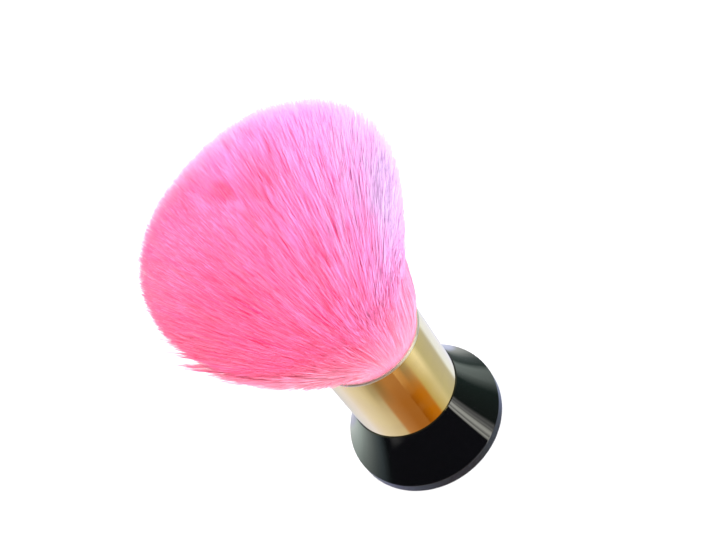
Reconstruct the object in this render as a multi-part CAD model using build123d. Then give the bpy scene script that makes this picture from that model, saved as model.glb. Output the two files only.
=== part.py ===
from build123d import *

import os

# Large domed dust brush: flared moulded handle, rolled-lip ferrule and a soft round tuft of fibres.
#
# Units are millimetres. +Z runs up the brush from the flat base to the crown of the tuft, and the origin is
# the centre of the underside. Every piece is a body of revolution about Z, apart from the handle's inner ribs.

# Driving dimensions
BASE_DIAMETER = 48.8
HANDLE_HEIGHT = 21.0
FERRULE_DIAMETER = 33.0
FERRULE_HEIGHT = 31.5
TUFT_DIAMETER = 70.4
TUFT_HEIGHT = 69.0

# Handle shell
RIM_WALL_TOP = 4.1  # top of the upright side wall round the rim
RIM_EDGE_RADIUS = 0.8
FLARE_EDGE_RADIUS = 0.45
FLARE_HOLLOW = 0.4  # how far the flare dips inside the straight line from rim to shoulder
SHOULDER_LEDGE = 0.25  # how far the shoulder stands out past the ferrule
SHELL_WALL = 2.2
SPIGOT_HEIGHT = 8.0
RIB_COUNT = 8
RIB_THICKNESS = 1.4
BOSS_RADIUS = 4.5

# Base plate
PLATE_RADIUS = 21.8
PLATE_THICKNESS = 2.0
PLATE_CHAMFER = 0.3
LOCATING_RING_RADIUS = 20.3
LOCATING_RING_WALL = 1.2
LOCATING_RING_HEIGHT = 2.4

# Ferrule and what it holds
FERRULE_WALL = 0.5
LIP_BEAD_RADIUS = 0.55
BOND_THICKNESS = 0.25
FIT_GAP = 0.05
PLUG_THICKNESS = 8.0
THREAD_DIAMETER = 0.8
THREAD_TURNS = 4

# Tuft
CORE_ROOT_RADIUS = 9.0
CORE_CROWN_RADIUS = 21.0
CROWN_HEIGHT = 19.0  # from the widest section up to the apex

# Levels and radii that follow from the above
BASE_RADIUS = BASE_DIAMETER / 2
FERRULE_RADIUS = FERRULE_DIAMETER / 2
FERRULE_BORE = FERRULE_RADIUS - FERRULE_WALL
TUFT_RADIUS = TUFT_DIAMETER / 2
SPIGOT_RADIUS = FERRULE_BORE - BOND_THICKNESS - FIT_GAP
SPIGOT_TOP = HANDLE_HEIGHT + SPIGOT_HEIGHT
PLUG_TOP = SPIGOT_TOP + PLUG_THICKNESS
MOUTH = HANDLE_HEIGHT + FERRULE_HEIGHT
MOUTH_RADIUS = FERRULE_RADIUS - 2 * LIP_BEAD_RADIUS - FIT_GAP
WIDEST = MOUTH + TUFT_HEIGHT - CROWN_HEIGHT
APEX = MOUTH + TUFT_HEIGHT


def turned(outline):
    """Solid made by turning a closed outline, drawn in the XZ plane, about Z."""
    return revolve(make_face(outline), Axis.Z)


def ring(inner, outer, bottom, top):
    """Plain round sleeve."""
    return turned(Polyline((inner, 0, bottom), (outer, 0, bottom), (outer, 0, top), (inner, 0, top), close=True))


def disc(radius, bottom, top):
    """Plain round disc."""
    return Pos(0, 0, bottom) * extrude(Circle(radius), top - bottom)


def flare_curve(inset):
    """Concave side of the handle from rim to shoulder, moved inwards by inset."""
    shoulder = FERRULE_RADIUS + SHOULDER_LEDGE - inset
    rim = BASE_RADIUS - inset
    middle = (shoulder + rim) / 2 - FLARE_HOLLOW
    half_way = (RIM_WALL_TOP + HANDLE_HEIGHT) / 2 - FLARE_HOLLOW
    return ThreePointArc((rim, 0, RIM_WALL_TOP), (middle, 0, half_way), (shoulder, 0, HANDLE_HEIGHT))


def handle_outside():
    """Rim wall, flare, shoulder and the spigot that fills the bottom of the ferrule."""
    flare = flare_curve(0)
    rest = Polyline(
        flare @ 1,
        (SPIGOT_RADIUS, 0, HANDLE_HEIGHT),
        (SPIGOT_RADIUS, 0, SPIGOT_TOP),
        (0, 0, SPIGOT_TOP),
        (0, 0, 0),
        (BASE_RADIUS, 0, 0),
        flare @ 0,
    )
    solid = turned([flare, rest])
    foot = solid.edges().filter_by(GeomType.CIRCLE).group_by(Axis.Z)[0]
    solid = fillet(foot, RIM_EDGE_RADIUS)
    rim = [e for e in solid.edges().filter_by(GeomType.CIRCLE) if abs(e.center().Z - RIM_WALL_TOP) < 0.01]
    return fillet(rim, FLARE_EDGE_RADIUS)


def handle_cavity():
    """Moulding hollow inside the handle, open underneath and closed at the top of the spigot."""
    flare = flare_curve(SHELL_WALL)
    core = SPIGOT_RADIUS - SHELL_WALL
    roof = SPIGOT_TOP - SHELL_WALL
    rest = Polyline(
        flare @ 1,
        (core, 0, HANDLE_HEIGHT),
        (core, 0, roof),
        (0, 0, roof),
        (0, 0, PLATE_THICKNESS),
        (BASE_RADIUS - SHELL_WALL, 0, PLATE_THICKNESS),
        flare @ 0,
    )
    hollow = turned([flare, rest])
    return hollow & disc(LOCATING_RING_RADIUS + FIT_GAP, 0, roof)


def handle_shell():
    """Moulded handle with radial ribs that meet in a central boss."""
    cavity = handle_cavity()
    seat = disc(PLATE_RADIUS + FIT_GAP, -1, PLATE_THICKNESS)
    rib_bottom = PLATE_THICKNESS + LOCATING_RING_HEIGHT + FIT_GAP
    rib_height = SPIGOT_TOP - rib_bottom
    ribs = disc(BOSS_RADIUS, rib_bottom, SPIGOT_TOP)
    for spoke in range(RIB_COUNT // 2):
        blade = Box(BASE_DIAMETER, RIB_THICKNESS, rib_height, align=(Align.CENTER, Align.CENTER, Align.MIN))
        ribs += Rot(0, 0, spoke * 360 / RIB_COUNT) * Pos(0, 0, rib_bottom) * blade
    return handle_outside() - cavity - seat + (ribs & cavity)


def base_plate():
    """Closing disc, flush with the rim, with a locating ring that stands up inside the shell."""
    plate = disc(PLATE_RADIUS, 0, PLATE_THICKNESS)
    plate = chamfer(plate.edges().group_by(Axis.Z)[0], PLATE_CHAMFER)
    ring_inner = LOCATING_RING_RADIUS - LOCATING_RING_WALL
    return plate + ring(ring_inner, LOCATING_RING_RADIUS, PLATE_THICKNESS, PLATE_THICKNESS + LOCATING_RING_HEIGHT)


def ferrule():
    """Drawn tube whose mouth is rolled inwards into a round bead."""
    bead_centre = FERRULE_RADIUS - LIP_BEAD_RADIUS
    tube = ring(FERRULE_BORE, FERRULE_RADIUS, HANDLE_HEIGHT, MOUTH - LIP_BEAD_RADIUS)
    bead = Pos(0, 0, MOUTH - LIP_BEAD_RADIUS) * Torus(bead_centre, LIP_BEAD_RADIUS)
    return tube + bead


def ferrule_bond():
    """Cured adhesive between spigot and ferrule."""
    inner = SPIGOT_RADIUS + FIT_GAP / 2
    return ring(inner, inner + BOND_THICKNESS, HANDLE_HEIGHT + FIT_GAP, SPIGOT_TOP - FIT_GAP)


def root_plug():
    """Cured resin that holds the fibre roots, seated on the spigot."""
    return disc(FERRULE_BORE - FIT_GAP, SPIGOT_TOP, PLUG_TOP)


def binding_levels():
    """Height of each turn of the binding thread."""
    return [PLUG_TOP + THREAD_DIAMETER * (turn + 1) for turn in range(THREAD_TURNS)]


def root_binding():
    """Separate turns of thread, side by side, tight round the roots."""
    centre = FERRULE_BORE - FIT_GAP - THREAD_DIAMETER / 2
    radius = THREAD_DIAMETER / 2 - FIT_GAP / 2
    return Compound([Pos(0, 0, level) * Torus(centre, radius) for level in binding_levels()])


def tuft():
    """Whole fibre bundle: neck in the ferrule, spreading flank and rounded crown."""
    neck = FERRULE_BORE - FIT_GAP
    waist = neck - THREAD_DIAMETER - FIT_GAP
    bound_top = binding_levels()[-1] + THREAD_DIAMETER
    bead_bottom = MOUTH - 2 * LIP_BEAD_RADIUS - FIT_GAP
    sides = Polyline(
        (0, 0, APEX),
        (0, 0, PLUG_TOP),
        (waist, 0, PLUG_TOP),
        (waist, 0, bound_top),
        (neck, 0, bound_top + THREAD_DIAMETER),
        (neck, 0, bead_bottom - LIP_BEAD_RADIUS),
        (MOUTH_RADIUS, 0, bead_bottom),
        (MOUTH_RADIUS, 0, MOUTH),
    )
    flank = Spline(
        (MOUTH_RADIUS, 0, MOUTH),
        (0.63 * TUFT_RADIUS, 0, MOUTH + 0.27 * (WIDEST - MOUTH)),
        (0.9 * TUFT_RADIUS, 0, MOUTH + 0.7 * (WIDEST - MOUTH)),
        (TUFT_RADIUS, 0, WIDEST),
        tangents=((0.7, 0, 1), (0, 0, 1)),
    )
    crown = Spline((TUFT_RADIUS, 0, WIDEST), (0, 0, APEX), tangents=((0, 0, 1), (-1, 0, 0)))
    return turned([sides, flank, crown])


def core_region():
    """Cone that parts the inner fibres from the outer ones, taller than the tuft."""
    slope = (CORE_CROWN_RADIUS - CORE_ROOT_RADIUS) / (APEX - MOUTH)
    lid = APEX + CROWN_HEIGHT
    return turned(
        Polyline(
            (0, 0, PLUG_TOP),
            (CORE_ROOT_RADIUS, 0, PLUG_TOP),
            (CORE_ROOT_RADIUS, 0, MOUTH),
            (CORE_ROOT_RADIUS + slope * (lid - MOUTH), 0, lid),
            (0, 0, lid),
            close=True,
        )
    )


def tuft_core():
    """Inner, longest fibres."""
    return tuft() & core_region()


def tuft_mantle():
    """Outer fibres round the core."""
    return tuft() - core_region()


def main():
    """Writes one STEP file for each piece."""
    os.makedirs("parts", exist_ok=True)
    pieces = {
        "handle_shell": handle_shell(),
        "base_plate": base_plate(),
        "ferrule": ferrule(),
        "ferrule_bond": ferrule_bond(),
        "root_plug": root_plug(),
        "root_binding": root_binding(),
        "tuft_core": tuft_core(),
        "tuft_mantle": tuft_mantle(),
    }
    for node, shape in pieces.items():
        export_step(shape, f"parts/{node}.step")


main()
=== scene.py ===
"""Looks of a large domed nail dust brush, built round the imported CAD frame.

The hard parts are the CAD nodes, which only get materials. The tuft is real geometry: tens of thousands of
tapered fibres that rise from the ferrule's mouth, fan out and end on a rounded crown, over a closed core. All
lengths are metres, in the CAD frame, with +Z up the brush.
"""

import math

import bpy
import numpy as np
from mathutils import Matrix, Vector
from mathutils.kdtree import KDTree

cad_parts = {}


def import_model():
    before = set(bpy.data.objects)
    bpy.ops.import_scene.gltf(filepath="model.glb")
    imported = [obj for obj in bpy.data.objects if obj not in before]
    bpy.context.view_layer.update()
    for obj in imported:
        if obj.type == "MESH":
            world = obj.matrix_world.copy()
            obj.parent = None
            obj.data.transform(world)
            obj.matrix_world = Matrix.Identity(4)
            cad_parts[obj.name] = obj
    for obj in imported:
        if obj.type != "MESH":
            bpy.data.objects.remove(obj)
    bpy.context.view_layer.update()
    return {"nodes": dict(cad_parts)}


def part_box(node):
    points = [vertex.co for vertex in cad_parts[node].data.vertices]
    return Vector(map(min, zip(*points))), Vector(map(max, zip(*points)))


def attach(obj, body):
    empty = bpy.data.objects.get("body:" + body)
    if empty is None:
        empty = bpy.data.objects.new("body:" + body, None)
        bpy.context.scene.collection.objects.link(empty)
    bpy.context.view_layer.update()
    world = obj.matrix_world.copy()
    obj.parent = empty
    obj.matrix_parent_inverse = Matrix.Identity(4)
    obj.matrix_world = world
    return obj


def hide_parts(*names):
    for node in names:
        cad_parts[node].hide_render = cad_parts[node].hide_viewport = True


MM = 0.001
SEED = 20431
VIEWPOINT_MM = (0.0, -193.1, 284.9)  # the camera's place

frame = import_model()

# Levels and radii read from the frame
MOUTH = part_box("ferrule")[1].z
FERRULE_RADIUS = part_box("ferrule")[1].x
BASE_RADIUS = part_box("handle_shell")[1].x
HEAD_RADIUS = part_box("tuft_mantle")[1].x
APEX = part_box("tuft_core")[1].z

RIM_TOP = 3.9 * MM  # the rim's upright side wall ends here
RIM_DEPTH = 0.3 * MM  # faces this close to the outer radius belong to that wall
LIP_BAND = (1.1 * MM, 0.7 * MM)  # the ferrule's duller lip, painted paler as a highlight, fades in between these depths below the mouth

# Tuft shape
NECK_RADIUS = FERRULE_RADIUS - 1.15 * MM
CROWN_HEIGHT = 19.0 * MM
WIDEST = APEX - CROWN_HEIGHT
FLANK_CURVE = 1.5  # the flank's radius grows with this power of what is left to the widest level
FAN_SLOPE = 0.53  # outward run of the outermost fibres at the mouth, per unit of height
FAN_EASE = 2.8  # how fast that slope eases off, per metre
FAN_ORIGIN = np.array([0.0, 0.0, 13.6 * MM])  # point that the fibres seem to fan out from
LEAN = Vector((-0.055, 0.017))  # sideways lean of the soft tuft, per unit of height
FLANK_HOLLOW = 0.17  # how far the +X flank is hollowed, as a share of the radius there
NEAR_SWELL = 0.035  # how far the near -X side swells
FAR_DENT = 0.12  # how far the crown is pressed in at the far side
CROWN_SWELL = 0.03  # how far the crown swells above the hollow
STROKED_FROM = np.array(VIEWPOINT_MM) * MM  # the crown's fibres lie back, away from this point
LAY_LIMIT = 0.95  # how strongly they do
TIP_REACH = 3.7 * MM  # furthest that the thin ends of the crown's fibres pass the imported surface
LEAST_REACH = 0.6 * MM  # the same on the side opposite REACH_SIDE
TIP_SCATTER = 0.7 * MM  # spread of the tips' depth
SKIRT_SHARE = 0.3  # tips below the widest level, per tip above it
SKIRT_DEPTH = 0.6  # how far below they go, as a share of CROWN_HEIGHT
CROWN_LENGTHS = (15 * MM, 26 * MM)  # shortest and longest of the crown's fibres
ROOT_SINK = 1.6 * MM  # how far the crown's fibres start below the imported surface
REACH_SIDE = math.radians(25)  # azimuth where the crown reaches furthest
FLANK_THICKNESS = 0.16  # share of the fan's radius, from the outside in, that the flank's fibres fill
END_SPREAD = 0.55  # how far down the flank its fibres may end, as a share of the way to the mouth
WISP_LIFT = 2.8 * MM  # how far the loosest locks stand off the flank
WISP_SIDE = -170  # azimuth of the middle of those locks, degrees
WISP_SHARE = 0.40  # share of the flank's fibres that are short there
WISP_CELL = 0.9 * MM  # width round the head of a group of them
WISP_LAYERS = 9  # groups in one such width
LAY_SCALE = 70 * MM  # distance from FAN_ORIGIN at which a lock of the crown has its nominal width
CORE_INSET = 1.5 * MM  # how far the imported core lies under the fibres' surface

# Locks that the fibres gather in: width, length, how strongly they are drawn together, and how far the
# fibres at a lock's border sink
CROWN_LOCK = (2.2 * MM, 10 * MM, 0.05, 0.06 * MM)
CROWN_FINE_LOCK = (0.45 * MM, 6 * MM, 0.18, 0.06 * MM)
FLANK_LOCK = (2.0 * MM, 12 * MM, 0.05, 0.06 * MM)
FLANK_FINE_LOCK = (0.45 * MM, 7 * MM, 0.2, 0.08 * MM)
CREASE_SHADE_SPREAD = 0.23  # how far a crease's painted shade runs along a fibre, as a share of its length
LOOSE_CHANCE = 0.25  # share of the fibres that bend away from their neighbours
LOOSE_BEND = 0.6 * MM

# Fibres
FIBRE_RADIUS = 0.085 * MM
TIP_RADIUS = 0.02 * MM
RINGS = 8  # cross sections along a fibre
SIDES = 3  # corners of a cross section
CROWN_SECTORS = 8
FLANK_SECTORS = 10
CROWN_FIBRES = 4500  # per sector
FLANK_FIBRES = 4000  # per sector

# Fibre colours, linear
PINK = (1.0, 0.142, 0.36, 1.0)
# Painted shade on the tuft's -X edge
SHADED_SIDE_ROSE = (0.88, 0.165, 0.33, 1.0)
# Painted sheen towards the mouth
MOUTH_SHEEN_PINK = (0.92, 0.29, 0.41, 1.0)
# Painted shade along the underside
UNDERSIDE_SHADE_PINK = (0.92, 0.31, 0.44, 1.0)
INNER_GLOW = (1.0, 0.27, 0.54, 1.0)
# Painted shade at the roots, in creases and on the imported core
SHADE_PINK = (0.93, 0.035, 0.21, 1.0)
ORCHID = (1.0, 0.29, 0.67, 1.0)
PALE_ORCHID = (1.0, 0.38, 0.78, 1.0)
LILAC = (0.93, 0.40, 0.78, 1.0)
PALE_BLUE = (0.69, 0.50, 0.78, 1.0)
# Painted backlight on the far side
BACKLIT_PINK = (0.95, 0.60, 0.82, 1.0)
FROSTED_PINK = (1.0, 0.78, 0.90, 1.0)


def node_tree(material):
    """Fresh node tree of a material, and its Principled shader."""
    material.use_nodes = True
    tree = material.node_tree
    tree.nodes.clear()
    shader = tree.nodes.new("ShaderNodeBsdfPrincipled")
    output = tree.nodes.new("ShaderNodeOutputMaterial")
    tree.links.new(shader.outputs["BSDF"], output.inputs["Surface"])
    return tree, shader


def add_node(tree, kind, settings=None, inputs=None):
    """One node with its properties and unlinked inputs set."""
    node = tree.nodes.new(kind)
    for key, value in (settings or {}).items():
        setattr(node, key, value)
    for key, value in (inputs or {}).items():
        node.inputs[key].default_value = value
    return node


def math_node(tree, operation, first, second=None):
    """Math node whose operands are sockets or numbers."""
    node = add_node(tree, "ShaderNodeMath", {"operation": operation})
    for index, operand in enumerate((first, second)):
        if operand is None:
            continue
        if isinstance(operand, bpy.types.NodeSocket):
            tree.links.new(operand, node.inputs[index])
        else:
            node.inputs[index].default_value = operand
    return node.outputs[0]


def add_clamp(tree, value):
    """Value held between 0 and 1."""
    node = add_node(tree, "ShaderNodeClamp")
    tree.links.new(value, node.inputs[0])
    return node.outputs[0]


def weighted_sum(tree, terms):
    """Sum of sockets, each times its weight."""
    total = None
    for socket, weight in terms:
        part = math_node(tree, "MULTIPLY", socket, weight)
        total = part if total is None else math_node(tree, "ADD", total, part)
    return total


def fade(tree, value, start, end, interpolation="SMOOTHSTEP"):
    """Rise from 0 to 1 while a value goes from start to end."""
    node = add_node(tree, "ShaderNodeMapRange", {"interpolation_type": interpolation})
    node.inputs["From Min"].default_value = start
    node.inputs["From Max"].default_value = end
    tree.links.new(value, node.inputs["Value"])
    return node.outputs[0]


def coordinates(tree, kind="Object"):
    """Texture coordinates, whole and as their X, Y and Z sockets."""
    place = add_node(tree, "ShaderNodeTexCoord").outputs[kind]
    split = add_node(tree, "ShaderNodeSeparateXYZ")
    tree.links.new(place, split.inputs[0])
    return place, split.outputs


def azimuth_share(tree, x, y, offset):
    """Azimuth as a share of a whole turn, plus an offset."""
    turn = math_node(tree, "ARCTAN2", y, x)
    turn = math_node(tree, "DIVIDE", turn, 2.0 * math.pi)
    return math_node(tree, "ADD", turn, offset)


def noise(tree, place, **inputs):
    """Noise texture over a position socket."""
    node = add_node(tree, "ShaderNodeTexNoise", inputs=inputs)
    tree.links.new(place, node.inputs["Vector"])
    return node.outputs["Fac"]


def add_bump(tree, shader, height, strength, distance):
    """Fine relief on a shader's normal."""
    bump = add_node(tree, "ShaderNodeBump", inputs={"Strength": strength, "Distance": distance})
    tree.links.new(height, bump.inputs["Height"])
    tree.links.new(bump.outputs[0], shader.inputs["Normal"])


def grey(value):
    """Opaque grey."""
    return (value, value, value, 1.0)


def ramp(tree, factor, stops):
    """Colour ramp over a factor socket."""
    node = tree.nodes.new("ShaderNodeValToRGB")
    elements = node.color_ramp.elements
    while len(elements) < len(stops):
        elements.new(0.5)
    for element, (position, colour) in zip(elements, stops):
        element.position = position
        element.color = colour
    tree.links.new(factor, node.inputs["Fac"])
    return node.outputs["Color"]


def mix_colour(tree, factor, first, second):
    """Mix of two colours, each a socket or a value."""
    node = add_node(tree, "ShaderNodeMix", {"data_type": "RGBA"})
    for socket, value in ((node.inputs[0], factor), (node.inputs[6], first), (node.inputs[7], second)):
        if isinstance(value, bpy.types.NodeSocket):
            tree.links.new(value, socket)
        else:
            socket.default_value = value
    return node.outputs[2]


# Materials


def fibre_hue(tree, split, wander, blue):
    """Pink to orchid to lilac across the tuft, with painted shade in a duskier rose at the -X edge, turning
    pale blue where blue is 1.
    """
    across = weighted_sum(tree, [(split[0], 0.5 / HEAD_RADIUS), (split[1], 0.04 / HEAD_RADIUS)])
    across = math_node(tree, "ADD", across, wander)
    across = math_node(tree, "ADD", across, 0.5)
    # The duskier rose at the -X end is painted shade
    stops = [(0.0, SHADED_SIDE_ROSE), (0.14, PINK), (0.34, PINK), (0.57, ORCHID), (0.76, PALE_ORCHID), (1.0, LILAC)]
    return mix_colour(tree, blue, ramp(tree, across, stops), PALE_BLUE)


def fibre_material(name, packed):
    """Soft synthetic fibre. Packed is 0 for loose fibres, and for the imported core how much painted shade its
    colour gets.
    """
    material = bpy.data.materials.new(name)
    tree, shader = node_tree(material)
    _, split = coordinates(tree)
    strand = add_node(tree, "ShaderNodeAttribute", {"attribute_name": "strand"})
    strand_split = add_node(tree, "ShaderNodeSeparateColor")
    tree.links.new(strand.outputs["Color"], strand_split.inputs[0])
    along, tint, hue_shift = strand_split.outputs
    crease = strand.outputs["Alpha"]

    # Locks wander a little in colour, and the near side turns pale blue towards +X
    wander = math_node(tree, "SUBTRACT", hue_shift, 0.5)
    wander = math_node(tree, "MULTIPLY", wander, 0.22 * (1.0 - packed))
    near_right = weighted_sum(
        tree, [(split[0], 0.91 / HEAD_RADIUS), (split[1], -0.41 / HEAD_RADIUS), (wander, 0.8)]
    )
    blue = fade(tree, near_right, 0.45, 0.98)
    hue = fibre_hue(tree, split, wander, blue)

    # Painted shade: deeper pink at the roots and in the creases between locks, except in the pale blue
    deep = math_node(tree, "MULTIPLY", math_node(tree, "SUBTRACT", 1.0, along), 0.35)
    deep = math_node(tree, "ADD", deep, math_node(tree, "MULTIPLY", crease, 5.0))
    deep = math_node(tree, "MULTIPLY", add_clamp(tree, deep), math_node(tree, "SUBTRACT", 1.0, blue))
    # The imported core's painted shade is a fixed share
    if packed:
        deep = packed

    # Painted backlight: paler on the far side
    far = fade(tree, math_node(tree, "MULTIPLY", split[1], along), 8 * MM, 27 * MM)
    hue = mix_colour(tree, math_node(tree, "MULTIPLY", far, 0.55), hue, BACKLIT_PINK)
    colour = mix_colour(tree, deep, hue, mix_colour(tree, 0.92, hue, SHADE_PINK))

    # Painted sheen: softer, paler pink towards the mouth; painted shade: a duskier pink along the underside of
    # the leaning tuft
    height = math_node(tree, "SUBTRACT", split[2], MOUTH)
    low_down = math_node(tree, "SUBTRACT", 1.3, math_node(tree, "DIVIDE", height, 34 * MM))
    low_down = add_clamp(tree, low_down)
    colour = mix_colour(tree, math_node(tree, "MULTIPLY", low_down, 0.7), colour, MOUTH_SHEEN_PINK)
    turn = azimuth_share(tree, split[0], split[1], 0.5)
    under = ramp(tree, turn, [(0.0, grey(0.0)), (0.08, grey(1.0)), (0.16, grey(1.0)), (0.22, grey(0.0))])
    lower_half = add_clamp(tree, math_node(tree, "MULTIPLY", low_down, 2.4))
    colour = mix_colour(tree, math_node(tree, "MULTIPLY", under, lower_half), colour, UNDERSIDE_SHADE_PINK)

    # Some fibres are frosted
    frosted = math_node(tree, "MULTIPLY", math_node(tree, "POWER", tint, 1.6), 0.20 * (1.0 - packed))
    colour = mix_colour(tree, frosted, colour, FROSTED_PINK)
    tree.links.new(colour, shader.inputs["Base Color"])
    shader.inputs["Roughness"].default_value = 0.45
    shader.inputs["Specular IOR Level"].default_value = 0.12
    if packed:
        # Light that real fibres would pass on from their neighbours
        shader.inputs["Emission Color"].default_value = INNER_GLOW
        shader.inputs["Emission Strength"].default_value = 0.6
    return material


def gold_material():
    """Polished gold-anodised aluminium with faint drawing lines, handling haze and a duller lip, painted paler
    as a highlight.
    """
    material = bpy.data.materials.new("gold_anodised")
    tree, shader = node_tree(material)
    place, split = coordinates(tree)
    haze = noise(tree, place, Scale=140.0, Detail=4.0, Roughness=0.55)
    lip = fade(tree, split[2], MOUTH - LIP_BAND[0], MOUTH - LIP_BAND[1], "LINEAR")
    tone = ramp(tree, haze, [(0.3, (0.92, 0.74, 0.25, 1.0)), (0.75, (0.88, 0.70, 0.26, 1.0))])
    # The lip's paler colour is a painted highlight
    tone = mix_colour(tree, lip, tone, (1.0, 0.95, 0.80, 1.0))
    tree.links.new(tone, shader.inputs["Base Color"])
    gloss = ramp(tree, haze, [(0.35, grey(0.06)), (0.75, grey(0.12))])
    gloss = mix_colour(tree, lip, gloss, grey(0.55))
    tree.links.new(gloss, shader.inputs["Roughness"])
    stretch = add_node(tree, "ShaderNodeMapping", inputs={"Scale": (1.0, 1.0, 0.012)})
    tree.links.new(place, stretch.inputs[0])
    lines = noise(tree, stretch.outputs[0], Scale=2600.0, Detail=2.0)
    add_bump(tree, shader, lines, 0.05, 0.02 * MM)
    shader.inputs["Metallic"].default_value = 1.0
    shader.inputs["Coat Weight"].default_value = 0.15
    shader.inputs["Coat Roughness"].default_value = 0.04
    return material


def gloss_black_material():
    """High-gloss black moulding with a little dust and haze."""
    material = bpy.data.materials.new("gloss_black")
    tree, shader = node_tree(material)
    place, _ = coordinates(tree)
    dust = noise(tree, place, Scale=1400.0, Detail=5.0, Roughness=0.7)
    black = ramp(tree, dust, [(0.62, (0.0012, 0.0012, 0.0016, 1.0)), (0.8, (0.006, 0.006, 0.007, 1.0))])
    tree.links.new(black, shader.inputs["Base Color"])
    gloss = ramp(tree, dust, [(0.4, grey(0.01)), (0.75, grey(0.04))])
    tree.links.new(gloss, shader.inputs["Roughness"])
    shader.inputs["Specular IOR Level"].default_value = 0.5
    shader.inputs["Coat Weight"].default_value = 0.3
    shader.inputs["Coat Roughness"].default_value = 0.02
    return material


def mottled_material(name, stops, roughness, **texture):
    """Material whose colour follows a noise texture, with its tree, its shader and the noise socket."""
    material = bpy.data.materials.new(name)
    tree, shader = node_tree(material)
    place, _ = coordinates(tree)
    mottle = noise(tree, place, **texture)
    tree.links.new(ramp(tree, mottle, stops), shader.inputs["Base Color"])
    shader.inputs["Roughness"].default_value = roughness
    return material, tree, shader, mottle


def shaded_rim_black_material():
    """Duller black of the base's narrow outer wall, a shaded copy of the gloss black whose weak reflections
    are painted shade.
    """
    stops = [(0.3, (0.006, 0.008, 0.011, 1.0)), (0.7, (0.016, 0.02, 0.026, 1.0))]
    material, _, shader, _ = mottled_material("rim_black", stops, 0.3, Scale=900.0, Detail=4.0)
    # The low specular keeps the wall's reflections dark: painted shade
    shader.inputs["Specular IOR Level"].default_value = 0.12
    return material


def satin_black_material():
    """Fine-grained black moulding under the base."""
    stops = [(0.3, (0.009, 0.009, 0.01, 1.0)), (0.7, (0.018, 0.018, 0.019, 1.0))]
    material, tree, shader, grain = mottled_material("satin_black", stops, 0.45, Scale=3200.0, Detail=2.0)
    add_bump(tree, shader, grain, 0.3, 0.03 * MM)
    return material


def resin_material():
    """Cured amber adhesive with cloudy patches."""
    stops = [(0.3, (0.62, 0.46, 0.2, 1.0)), (0.7, (0.8, 0.68, 0.42, 1.0))]
    return mottled_material("amber_resin", stops, 0.25, Scale=400.0, Detail=4.0)[0]


def thread_material():
    """Twisted natural thread."""
    material = bpy.data.materials.new("binding_thread")
    tree, shader = node_tree(material)
    place, _ = coordinates(tree)
    twist = add_node(tree, "ShaderNodeTexWave", inputs={"Scale": 900.0, "Distortion": 2.0})
    tree.links.new(place, twist.inputs["Vector"])
    stops = [(0.2, (0.55, 0.5, 0.43, 1.0)), (0.8, (0.82, 0.78, 0.7, 1.0))]
    tree.links.new(ramp(tree, twist.outputs["Fac"], stops), shader.inputs["Base Color"])
    shader.inputs["Roughness"].default_value = 0.85
    return material


# Meshes


def mesh_object(name, points, faces, material, rounded=True):
    """Object from arrays of points and of faces with equal numbers of corners, shaded smooth if rounded."""
    mesh = bpy.data.meshes.new(name)
    corners = faces.shape[1]
    mesh.vertices.add(len(points))
    mesh.vertices.foreach_set("co", points.astype(np.float32).ravel())
    mesh.loops.add(faces.size)
    mesh.loops.foreach_set("vertex_index", faces.astype(np.int32).ravel())
    mesh.polygons.add(len(faces))
    mesh.polygons.foreach_set("loop_start", np.arange(0, faces.size, corners, dtype=np.int32))
    mesh.polygons.foreach_set("use_smooth", np.full(len(faces), rounded))
    mesh.update(calc_edges=True)
    mesh.materials.append(material)
    piece = bpy.data.objects.new(name, mesh)
    bpy.context.scene.collection.objects.link(piece)
    return piece


def lathe(name, profile, material, segments):
    """Closed surface turned about Z from (radius, height) points that start and end on the axis."""
    radii = np.array([p[0] for p in profile])
    heights = np.array([p[1] for p in profile])
    angle = np.linspace(0.0, 2.0 * math.pi, segments, endpoint=False)
    inner = slice(1, len(profile) - 1)
    x = np.outer(radii[inner], np.cos(angle))
    y = np.outer(radii[inner], np.sin(angle))
    z = np.repeat(heights[inner][:, None], segments, axis=1)
    rings = np.stack([x, y, z], axis=-1).reshape(-1, 3)
    points = np.vstack([rings, [[0, 0, heights[0]], [0, 0, heights[-1]]]])
    rows = len(profile) - 2
    step = np.arange(segments)
    following = (step + 1) % segments
    faces = []
    for row in range(rows - 1):
        low, high = row * segments, (row + 1) * segments
        faces += [(low + a, low + b, high + b, high + a) for a, b in zip(step, following)]
    first, last = len(rings), len(rings) + 1
    top = (rows - 1) * segments
    faces += [(first, b, a) for a, b in zip(step, following)]
    faces += [(last, top + a, top + b) for a, b in zip(step, following)]
    mesh = bpy.data.meshes.new(name)
    mesh.from_pydata(points.tolist(), [], [tuple(map(int, face)) for face in faces])
    mesh.polygons.foreach_set("use_smooth", np.full(len(mesh.polygons), True))
    mesh.materials.append(material)
    piece = bpy.data.objects.new(name, mesh)
    bpy.context.scene.collection.objects.link(piece)
    return piece


# Tuft


def smooth(value, low, high):
    """Smooth step from 0 at low to 1 at high."""
    share = np.clip((value - low) / (high - low), 0.0, 1.0)
    return share * share * (3.0 - 2.0 * share)


def unit(vectors):
    """Vectors scaled to length one."""
    return vectors / np.maximum(np.linalg.norm(vectors, axis=-1, keepdims=True), 1e-12)


def lobe(turn, centre, power):
    """Bump of 1 at a centre azimuth in degrees, narrower with a higher power."""
    return np.clip(np.cos(turn - math.radians(centre)), 0.0, 1.0) ** power


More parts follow.
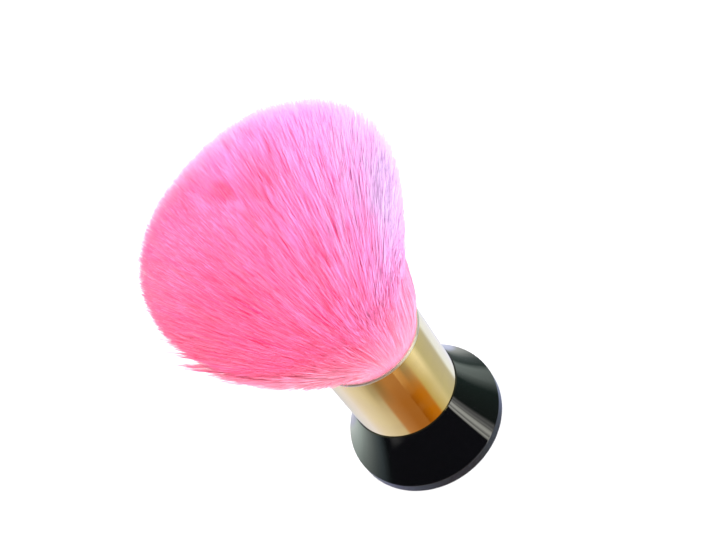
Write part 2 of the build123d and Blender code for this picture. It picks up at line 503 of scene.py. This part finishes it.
def squeeze(paths):
    """Uneven form: hollow flank on the +X side, fuller near -X side, crown pressed in at the far side."""
    turn = np.arctan2(paths[..., 1], paths[..., 0])
    level = (paths[..., 2] - MOUTH) / (APEX - MOUTH)
    high = smooth(level, 0.45, 0.8)
    mid_level = smooth(level, 0.05, 0.4) * (1.0 - smooth(level, 0.55, 0.95))
    change = -FLANK_HOLLOW * lobe(turn, -25, 3) * mid_level
    change += NEAR_SWELL * lobe(turn, -125, 3) * smooth(level, 0.05, 0.5)
    change += -FAR_DENT * lobe(turn, 98, 3) * high
    change += CROWN_SWELL * lobe(turn, 30, 4) * high
    shaped = paths.copy()
    shaped[..., :2] *= (1.0 + change)[..., None]
    return shaped


def envelope_radius(height):
    """Outer radius of the upright tuft at a height above the floor."""
    rise = np.clip((height - MOUTH) / (WIDEST - MOUTH), 0.0, 1.0)
    flank = NECK_RADIUS + (HEAD_RADIUS - NECK_RADIUS) * (1.0 - (1.0 - rise) ** FLANK_CURVE)
    over = np.clip((height - WIDEST) / CROWN_HEIGHT, 0.0, 1.0)
    return flank * np.sqrt(1.0 - over**2)


def envelope_normal(points):
    """Outward normal of the upright tuft, also for points below its surface."""
    flat = np.hypot(points[:, 0], points[:, 1])
    height = points[:, 2]
    rise = np.clip((height - MOUTH) / (WIDEST - MOUTH), 0.0, 1.0)
    slope = FLANK_CURVE * (1.0 - rise) ** (FLANK_CURVE - 1.0) * (HEAD_RADIUS - NECK_RADIUS) / (WIDEST - MOUTH)
    over = np.maximum(height - WIDEST, 0.0)
    upward = np.where(height > WIDEST, over / CROWN_HEIGHT**2, -slope * flat / HEAD_RADIUS**2)
    outward = points[:, :2] / HEAD_RADIUS**2
    return unit(np.column_stack([outward, upward]))


def fan_radius(height):
    """Radius that the outermost fibres' line reaches at a height, with no end to it."""
    rise = height - MOUTH
    return NECK_RADIUS + FAN_SLOPE * rise * (1.0 - FAN_EASE * rise)


def end_height(share):
    """Height where a fibre, whose radius is a share of the fan's, meets the envelope."""
    low = np.full_like(share, MOUTH + 2 * MM)
    high = np.full_like(share, APEX)
    for _ in range(40):
        middle = (low + high) / 2
        inside = share * fan_radius(middle) < envelope_radius(middle)
        low = np.where(inside, middle, low)
        high = np.where(inside, high, middle)
    return low


def lay_direction(points):
    """Direction of the fibres: out from the root, and laid back along the crown as if stroked."""
    rising = unit(points - FAN_ORIGIN)
    stroke = unit(points - STROKED_FROM)
    normal = envelope_normal(points)
    lift = np.sum(rising * normal, axis=1)
    facing = -np.sum(stroke * normal, axis=1)
    flatten = np.clip(0.8 * lift / np.maximum(facing, 0.05), 0.0, LAY_LIMIT)
    flatten *= smooth(facing, -0.45, 0.05) * smooth(points[:, 2], WIDEST - 14 * MM, WIDEST + 2 * MM)
    return unit(rising + flatten[:, None] * stroke)


def crown_paths(tips, reach, lengths):
    """Centre lines traced back from the tips against the lay of the fibres, and sunk towards their roots."""
    points = [tips]
    substeps = 3
    step = (lengths / ((RINGS - 1) * substeps))[:, None]
    for _ in range(RINGS - 1):
        here = points[-1]
        for _ in range(substeps):
            here = here - step * lay_direction(here)
        points.append(here)
    paths = np.stack(points[::-1], axis=1)
    sink = (ROOT_SINK + reach)[:, None] * np.linspace(1.0, 0.0, RINGS)[None, :] ** 1.4
    return paths - envelope_normal(tips)[:, None, :] * sink[..., None]


def crown_tips(azimuth, rng):
    """Tips spread evenly over the crown, most just under its surface."""
    count = len(azimuth)
    level = rng.uniform(-SKIRT_SHARE, 1.0, count)
    below = -SKIRT_DEPTH * np.maximum(-level / SKIRT_SHARE, 0.0) ** 1.6
    height = WIDEST + CROWN_HEIGHT * np.where(level > 0, np.maximum(level, 0.0) ** 0.62, below)
    reach = LEAST_REACH + (TIP_REACH - LEAST_REACH) * (0.5 + 0.5 * np.cos(azimuth - REACH_SIDE)) ** 1.5
    depth = np.abs(rng.normal(0.0, TIP_SCATTER, count)) - reach
    radius = envelope_radius(height)
    tips = np.column_stack([radius * np.cos(azimuth), radius * np.sin(azimuth), height])
    return tips - envelope_normal(tips) * depth[:, None], reach


def flank_paths(share, azimuth, end, rng):
    """Centre lines from inside the mouth, fanning out to their end height."""
    along = np.linspace(0.0, 1.0, RINGS)[None, :]
    start = MOUTH - 2 * MM
    height = start + (end - start)[:, None] * along
    radius = share[:, None] * fan_radius(np.maximum(height, MOUTH))
    turn = azimuth[:, None] + rng.normal(0.0, 0.010, len(share))[:, None] * along**1.5
    return np.stack([radius * np.cos(turn), radius * np.sin(turn), height], axis=-1)


def gather(paths, lateral, lengthwise, sideways, lock_kind, rng):
    """Draws fibres sideways into locks, and sinks those at a lock's border."""
    width, length, pull, sink = lock_kind
    place = np.column_stack([lateral / width, lengthwise / length, np.zeros(len(lateral))])
    count = max(4, int(np.ptp(place[:, 0]) * np.ptp(place[:, 1])))
    chosen = rng.choice(len(paths), min(count, len(paths)), replace=False)
    tree = KDTree(len(chosen))
    for index, fibre in enumerate(chosen):
        tree.insert(place[fibre], index)
    tree.balance()
    lock = np.array([tree.find(point)[1] for point in place])
    offset = lateral[chosen][lock] - lateral
    along = np.linspace(0.0, 1.0, RINGS)[None, :, None]
    character = rng.uniform(0.0, 1.0, len(chosen))[lock]
    drawn = offset * pull * (0.5 + 0.5 * character)
    paths = paths + (sideways * drawn[:, None])[:, None, :] * (0.3 + 0.7 * along**2)
    border = np.clip(np.abs(offset) / (0.5 * width), 0.0, 1.0) ** 2.5 * character**1.8
    normal = envelope_normal(paths[:, -1])
    paths = paths - (normal * (border * sink)[:, None])[:, None, :] * along
    return paths, lock, border


def flyaway(paths, rng):
    """Lets some fibres bend away from their neighbours towards the tip."""
    loose = rng.uniform(size=len(paths)) < LOOSE_CHANCE
    along = np.linspace(0.0, 1.0, RINGS)[None, :, None]
    bend = rng.normal(0.0, LOOSE_BEND, (len(paths), 1, 3)) * loose[:, None, None]
    return paths + bend * along**2.2


def wisps(paths, group, azimuth, short, sideways, rng):
    """Lifts the tips of the flank's short fibres off it, each group drawn to a loose point."""
    along = np.linspace(0.0, 1.0, RINGS)[None, :, None]
    lift = WISP_LIFT * rng.uniform(0.2, 1.0, group.max() + 1)[group] * short
    centre = np.bincount(group, azimuth) / np.maximum(np.bincount(group), 1)
    drawn = (centre[group] - azimuth) * HEAD_RADIUS * 0.75 * short
    shift = envelope_normal(paths[:, -1]) * lift[:, None] + sideways * drawn[:, None]
    return paths + shift[:, None, :] * along**2.5


def lean(paths):
    """The soft tuft's slight sideways lean, growing from the mouth upwards."""
    rise = np.maximum(paths[..., 2:] - MOUTH, 0.0)
    return paths + rise * np.array([LEAN.x, LEAN.y, 0.0])


def fibre_mesh(name, paths, looks, material, rng):
    """Tapered three-sided fibres along the paths, with a colour attribute and one UV cell a fibre."""
    count = len(paths)
    along = np.linspace(0.0, 1.0, RINGS)
    tangent = unit(np.gradient(paths, axis=1))
    reference = rng.normal(size=(count, 1, 3))
    across = unit(np.cross(tangent, reference))
    other = np.cross(tangent, across)
    thickness = rng.uniform(0.7, 1.3, count)[:, None]
    radius = thickness * (TIP_RADIUS + (FIBRE_RADIUS - TIP_RADIUS) * (1.0 - along[None, :] ** 3.5))
    spin = np.arange(SIDES) * 2.0 * math.pi / SIDES
    ring = (
        paths[:, :, None, :]
        + radius[:, :, None, None] * np.cos(spin)[None, None, :, None] * across[:, :, None, :]
        + radius[:, :, None, None] * np.sin(spin)[None, None, :, None] * other[:, :, None, :]
    )
    base = (np.arange(count) * RINGS * SIDES)[:, None, None]
    row = (np.arange(RINGS - 1) * SIDES)[None, :, None]
    side = np.arange(SIDES)[None, None, :]
    a = base + row + side
    b = base + row + (side + 1) % SIDES
    walls = np.concatenate(
        [
            np.stack([a, b, b + SIDES], -1).reshape(-1, 3),
            np.stack([a, b + SIDES, a + SIDES], -1).reshape(-1, 3),
        ]
    )
    root = base[:, 0, 0]
    top = root + (RINGS - 1) * SIDES
    root_caps = np.stack([root + 2, root + 1, root], -1)
    tip_caps = np.stack([top, top + 1, top + 2], -1)
    faces = np.concatenate([walls, root_caps, tip_caps])
    piece = mesh_object(name, ring.reshape(-1, 3), faces, material)
    write_looks(piece.data, along, looks)
    write_cells(piece.data, faces, count, along)
    return piece


def write_looks(mesh, along, looks):
    """Colour attribute: share of the fibre's length, its tint, its lock's hue, and how deep in a crease, which
    the material paints as shade.
    """
    tint, hue, crease, place = looks
    colour = np.ones((len(tint), RINGS, SIDES, 4), dtype=np.float32)
    colour[..., 0] = along[None, :, None]
    colour[..., 1] = tint[:, None, None]
    colour[..., 2] = hue[:, None, None]
    nearness = np.exp(-(((along[None, :] - place[:, None]) / CREASE_SHADE_SPREAD) ** 2))
    colour[..., 3] = (crease[:, None] * nearness)[..., None]
    layer = mesh.attributes.new("strand", "FLOAT_COLOR", "POINT")
    layer.data.foreach_set("color", colour.ravel())


def write_cells(mesh, faces, count, along):
    """UV layer with a small upright cell for each fibre."""
    columns = 128
    rows = math.ceil(count / columns)
    fibre = np.arange(count)
    left = (fibre % columns)[:, None, None] / columns
    bottom = (fibre // columns)[:, None, None] / rows
    u = left + np.array([0.15, 0.5, 0.85])[None, None, :] / columns
    v = bottom + (0.1 + 0.8 * along[None, :, None]) / rows
    uv = np.stack(np.broadcast_arrays(u, v), -1).reshape(-1, 2)
    layer = mesh.uv_layers.new(name="OFBake")
    layer.data.foreach_set("uv", uv[faces.ravel()].astype(np.float32).ravel())


def looks_of(locks, fine_locks, border, rng):
    """Tint of each fibre, hue of its lock, how deep it lies in a crease, and where along it the crease's
    painted shade is.
    """
    count = len(locks)
    own_tint = rng.uniform(0.0, 1.0, count)
    shared_tint = rng.uniform(0.0, 1.0, fine_locks.max() + 1)[fine_locks]
    tint = 0.55 * own_tint + 0.45 * shared_tint
    hue = rng.uniform(0.0, 1.0, locks.max() + 1)[locks] + rng.normal(0.0, 0.12, count)
    place = rng.uniform(0.35, 0.9, locks.max() + 1)[locks]
    return tint, np.clip(hue, 0.0, 1.0), border, place


def crown_lay(tips):
    """Place of each tip across and along the lay seen from STROKED_FROM, and its sideways step across it."""
    sight = unit(FAN_ORIGIN - STROKED_FROM)
    level = unit(np.cross(sight, np.array([0.0, 0.0, 1.0])))
    upright = np.cross(level, sight)
    offset = tips - FAN_ORIGIN
    radial = offset - np.outer(offset @ sight, sight)
    distance = np.linalg.norm(radial, axis=1)
    angle = np.arctan2(offset @ level, offset @ upright)
    onward = level * np.cos(angle)[:, None] - upright * np.sin(angle)[:, None]
    sideways = unit(np.cross(sight, radial))
    turn = np.sign(np.sum(sideways * onward, axis=1))
    sideways = sideways * turn[:, None] * (distance / LAY_SCALE)[:, None]
    return angle * LAY_SCALE, distance, sideways


def make_crown(index, material, rng):
    """One sector of the crown, whose fibres lie back over it."""
    width = 2.0 * math.pi / CROWN_SECTORS
    azimuth = (index + rng.uniform(0.0, 1.0, CROWN_FIBRES)) * width
    tips, reach = crown_tips(azimuth, rng)
    paths = crown_paths(tips, reach, rng.uniform(*CROWN_LENGTHS, CROWN_FIBRES))
    lateral, lengthwise, sideways = crown_lay(tips)
    facing = -np.sum(unit(tips - STROKED_FROM) * envelope_normal(tips), axis=1)
    inside = smooth(facing, 0.1, 0.6)
    sideways *= (0.1 + 0.9 * inside)[:, None]
    paths, lock, border = gather(paths, lateral, lengthwise, sideways, CROWN_LOCK, rng)
    paths, fine, _ = gather(paths, lateral, lengthwise, sideways, CROWN_FINE_LOCK, rng)
    paths = lean(squeeze(flyaway(paths, rng)))
    # Strength of the painted crease shade, greater where the crown faces STROKED_FROM
    crease_shade_weight = (0.12 + smooth(facing, 0.80, 0.94)) * inside
    looks = looks_of(lock, fine, crease_shade_weight * border, rng)
    return fibre_mesh(f"crown_lock_{index + 1:02d}", paths, looks, material, rng)


def flank_wisps(azimuth, full, rng):
    """Which flank fibres are short and loose, the group each belongs to, and the height where it ends."""
    short = rng.uniform(size=FLANK_FIBRES) < WISP_SHARE * lobe(azimuth, WISP_SIDE, 2)
    cell = np.floor((azimuth - azimuth.min()) * HEAD_RADIUS / WISP_CELL).astype(int)
    group = cell * WISP_LAYERS + rng.integers(0, WISP_LAYERS, FLANK_FIBRES)
    stop = rng.uniform(0.45, 0.95, group.max() + 1)[group] - rng.uniform(0.0, 0.06, FLANK_FIBRES)
    return short, group, MOUTH + (full - MOUTH) * stop


def make_flank(index, material, rng):
    """One sector of the flank, whose fibres run the whole way up from the mouth."""
    width = 2.0 * math.pi / FLANK_SECTORS
    azimuth = (index + rng.uniform(0.0, 1.0, FLANK_FIBRES)) * width
    share = 1.0 - FLANK_THICKNESS * rng.uniform(0.0, 1.0, FLANK_FIBRES) ** 1.4
    full = end_height(share)
    end = full - (WIDEST - MOUTH) * END_SPREAD * rng.uniform(0.0, 1.0, FLANK_FIBRES) ** 2.5
    short, group, short_end = flank_wisps(azimuth, full, rng)
    end = np.where(short, short_end, end)
    share = np.where(short, np.maximum(share, 0.985), share)
    paths = flank_paths(share, azimuth, end, rng)
    lateral = azimuth * HEAD_RADIUS
    sideways = np.column_stack([-np.sin(azimuth), np.cos(azimuth), np.zeros(FLANK_FIBRES)])
    paths, lock, border = gather(paths, lateral, end, sideways, FLANK_LOCK, rng)
    paths, fine, _ = gather(paths, lateral, end, sideways, FLANK_FINE_LOCK, rng)
    paths = wisps(paths, group, azimuth, short, sideways, rng)
    paths = lean(squeeze(flyaway(paths, rng)))
    # Lock borders set the painted crease shade
    tint, hue, crease, place = looks_of(lock, fine, 4.0 * border, rng)
    looks = (np.where(short, 1.0, tint), hue, np.minimum(crease, 1.0) * ~short, place)
    return fibre_mesh(f"mantle_lock_{index + 1:02d}", paths, looks, material, rng)


def make_packed_core(material):
    """Closed form just under the fibre surface, which stops light and sight going through."""
    levels = np.linspace(MOUTH - 6 * MM, APEX - CORE_INSET, 48)
    radius = np.clip(envelope_radius(levels + 0.5 * CORE_INSET) - CORE_INSET, 0.2 * MM, None)
    radius[levels < MOUTH + 3 * MM] = NECK_RADIUS - 2.2 * MM
    profile = [(0.0, levels[0])] + list(zip(radius, levels)) + [(0.0, APEX - CORE_INSET + 0.2 * MM)]
    core = lathe("tuft_packed_core", profile, material, 96)
    points = np.empty(len(core.data.vertices) * 3)
    core.data.vertices.foreach_get("co", points)
    core.data.vertices.foreach_set("co", lean(squeeze(points.reshape(-1, 3))).ravel())
    return core


# Scene


def camera():
    """Camera above and in front of the brush, rolled so that the tuft points to the upper left."""
    data = bpy.data.cameras.new("camera")
    data.sensor_width = 36.0
    data.lens = 54.6
    data.clip_start = 0.01
    data.clip_end = 10.0
    holder = bpy.data.objects.new("camera", data)
    bpy.context.scene.collection.objects.link(holder)
    place = Vector(VIEWPOINT_MM) * MM
    forward = Vector((0.0330, 0.6740, -0.7380)).normalized()
    up = Vector((0.6036, 0.5751, 0.5522))
    right = forward.cross(up).normalized()
    up = right.cross(forward)
    turn = Matrix((right, up, -forward)).transposed()
    holder.matrix_world = Matrix.Translation(place) @ turn.to_4x4()
    bpy.context.scene.camera = holder


def floor():
    """Plain pale floor."""
    material = bpy.data.materials.new("pale_floor")
    tree, shader = node_tree(material)
    shader.inputs["Base Color"].default_value = (0.93, 0.93, 0.93, 1.0)
    shader.inputs["Roughness"].default_value = 0.9
    half = 3.0
    points = np.array([(-half, -half, 0), (half, -half, 0), (half, half, 0), (-half, half, 0)])
    plane = mesh_object("floor", points, np.array([[0, 1, 2, 3]]), material, rounded=False)
    plane.visible_glossy = False


def area_light(name, place, target, size, power, colour=(1.0, 1.0, 1.0)):
    """Soft rectangular light that doesn't show in reflections."""
    data = bpy.data.lights.new(name, "AREA")
    data.size = size
    data.energy = power
    data.color = colour
    lamp = bpy.data.objects.new(name, data)
    lamp.location = place
    lamp.rotation_euler = (Vector(target) - Vector(place)).to_track_quat("-Z", "Y").to_euler()
    lamp.visible_glossy = False
    bpy.context.scene.collection.objects.link(lamp)


# What polished faces reflect. A stop is a share of a turn, from -Y by way of +X, and a linear colour.
SIDE_PANELS = [
    (0.20, 0.56, 0.57, 0.62),
    (0.30, 0.54, 0.56, 0.68),
    (0.328, 0.90, 1.05, 1.70),
    (0.42, 0.90, 0.97, 1.30),
    (0.50, 0.62, 0.62, 0.70),
    (0.60, 0.78, 0.80, 1.00),
    (0.667, 0.86, 0.88, 1.40),
    (0.722, 0.82, 0.80, 1.10),
    (0.778, 0.74, 0.72, 0.95),
]
# Sines of the elevations between which the steep zone below gives way to the one above it
STEEP_SINES = (-0.812, -0.800)
# Steeply below: a warm amber zone in front, pale elsewhere
BELOW_PANELS = [
    (0.0, 0.29, 0.085, 0.0),
    (0.056, 0.50, 0.175, 0.005),
    (0.088, 0.52, 0.20, 0.02),
    (0.104, 0.55, 0.46, 0.30),
    (0.167, 0.66, 0.65, 0.72),
    *SIDE_PANELS,
    (0.855, 0.62, 0.56, 0.68),
    (0.872, 0.50, 0.25, 0.17),
    (0.944, 0.38, 0.15, 0.05),
]
# A little higher, the warm zone is narrower and greyer
ABOVE_PANELS = [
    (0.0, 0.74, 0.46, 0.33),
    (0.030, 0.62, 0.38, 0.26),
    (0.050, 0.34, 0.29, 0.27),
    (0.075, 0.40, 0.36, 0.36),
    (0.100, 0.68, 0.62, 0.60),
    (0.160, 1.00, 1.00, 1.25),
    *SIDE_PANELS,
    (0.810, 0.62, 0.58, 0.70),
    (0.835, 0.42, 0.38, 0.42),
    (0.890, 0.29, 0.20, 0.15),
    (0.935, 0.46, 0.23, 0.14),
]
# Level with the brush: dark in front, narrow bright window strips at the right, a soft pale room behind
LEVEL_PANELS = [
    (0.0, 0.025, 0.025, 0.03),
    (0.110, 0.025, 0.025, 0.03),
    (0.115, 4.6, 4.6, 4.1),
    (0.119, 4.6, 4.6, 4.1),
    (0.122, 0.3, 0.3, 0.3),
    (0.127, 4.6, 4.6, 4.1),
    (0.136, 4.6, 4.6, 4.1),
    (0.139, 1.0, 1.0, 0.9),
    (0.146, 2.4, 2.4, 2.2),
    (0.150, 0.4, 0.4, 0.4),
    (0.156, 1.4, 1.4, 1.3),
    (0.166, 0.07, 0.10, 0.07),
    (0.26, 0.08, 0.14, 0.11),
    (0.30, 0.75, 0.88, 0.80),
    (0.335, 0.70, 0.82, 0.75),
    (0.355, 0.13, 0.18, 0.16),
    (0.385, 0.20, 0.24, 0.23),
    (0.42, 0.55, 0.58, 0.55),
    (0.50, 0.75, 0.75, 0.74),
    (0.628, 0.95, 1.10, 1.0),
    (0.685, 0.68, 0.78, 0.72),
    (0.735, 0.28, 0.36, 0.37),
    (0.765, 0.03, 0.04, 0.04),
    (0.785, 0.025, 0.025, 0.03),
]
# Light off the table in front, added below the level zone
FRONT_GLOW = [
    (0.0, 0.45, 0.42, 0.36),
    (0.085, 0.80, 0.78, 0.72),
    (0.112, 0.0, 0.0, 0.0),
    (0.785, 0.0, 0.0, 0.0),
    (0.83, 0.75, 0.73, 0.70),
    (0.92, 0.55, 0.50, 0.42),
    (1.0, 0.45, 0.42, 0.36),
]


def panel_ramp(tree, turn, panels):
    """Colour ramp round the horizon."""
    return ramp(tree, turn, [(place, (*colour, 1.0)) for place, *colour in panels])


def elevation_fade(tree, rise, start, end):
    """Rise from 0 to 1 between two elevations in degrees."""
    return fade(tree, rise, math.sin(math.radians(start)), math.sin(math.radians(end)))


def world():
    """White surroundings for the eye and for soft light, and a studio of panels for reflections."""
    scene_world = bpy.data.worlds.new("studio")
    bpy.context.scene.world = scene_world
    scene_world.use_nodes = True
    tree = scene_world.node_tree
    tree.nodes.clear()
    output = tree.nodes.new("ShaderNodeOutputWorld")
    _, split = coordinates(tree, "Generated")
    turn = math_node(tree, "FRACT", azimuth_share(tree, split[0], split[1], 1.25))
    below = panel_ramp(tree, turn, BELOW_PANELS)
    above = panel_ramp(tree, turn, ABOVE_PANELS)
    low = mix_colour(tree, fade(tree, split[2], *STEEP_SINES), below, above)
    glow = add_node(tree, "ShaderNodeMix", {"data_type": "RGBA", "blend_type": "ADD"})
    tree.links.new(elevation_fade(tree, split[2], -21, -26), glow.inputs[0])
    tree.links.new(panel_ramp(tree, turn, LEVEL_PANELS), glow.inputs[6])
    tree.links.new(panel_ramp(tree, turn, FRONT_GLOW), glow.inputs[7])
    high = mix_colour(tree, elevation_fade(tree, split[2], 50, 75), glow.outputs[2], (1.5, 1.5, 1.5, 1.0))
    studio = mix_colour(tree, elevation_fade(tree, split[2], -47, -43), low, high)
    light_path = add_node(tree, "ShaderNodeLightPath")
    seen = mix_colour(tree, light_path.outputs["Is Glossy Ray"], grey(1.0), studio)
    background = add_node(tree, "ShaderNodeBackground")
    tree.links.new(seen, background.inputs["Color"])
    soft = math_node(tree, "MULTIPLY", light_path.outputs["Is Diffuse Ray"], 0.15)
    tree.links.new(math_node(tree, "ADD", soft, 1.0), background.inputs["Strength"])
    tree.links.new(background.outputs[0], output.inputs["Surface"])


def dress_cad():
    """Materials for the CAD nodes that stay."""
    gold = gold_material()
    black = gloss_black_material()
    resin = resin_material()
    coats = {
        "handle_shell": black,
        "base_plate": satin_black_material(),
        "ferrule": gold,
        "ferrule_bond": resin,
        "root_plug": resin,
        "root_binding": thread_material(),
    }
    for node, material in coats.items():
        mesh = frame["nodes"][node].data
        mesh.materials.clear()
        mesh.materials.append(material)
    handle = frame["nodes"]["handle_shell"].data
    # The rim wall gets the shaded copy of the black
    handle.materials.append(shaded_rim_black_material())
    for face in handle.polygons:
        if face.center.z < RIM_TOP and face.center.xy.length > BASE_RADIUS - RIM_DEPTH:
            face.material_index = 1


def dress_tuft():
    """All fibre pieces, which stand for the two CAD tuft solids."""
    rng = np.random.default_rng(SEED)
    material = fibre_material("soft_fibre", 0.0)
    pieces = [make_crown(index, material, rng) for index in range(CROWN_SECTORS)]
    pieces += [make_flank(index, material, rng) for index in range(FLANK_SECTORS)]
    pieces.append(make_packed_core(fibre_material("packed_fibre", 0.1)))
    for piece in pieces:
        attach(piece, "root")
        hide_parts("tuft_core", "tuft_mantle")


camera()
floor()
world()
area_light("key", (-0.45, -0.45, 0.55), (0, 0, 0.08), 0.6, 4.0)
area_light("front", (0.25, -0.60, 0.15), (0, 0, 0.07), 0.7, 4.8)
area_light("side", (0.65, 0.05, 0.30), (0, 0, 0.08), 0.6, 4.0, (0.95, 0.97, 1.0))
area_light("back", (0.0, 0.65, 0.45), (0, 0, 0.09), 0.6, 4.8)
dress_cad()
dress_tuft()
bpy.context.scene.view_settings.view_transform = "Standard"
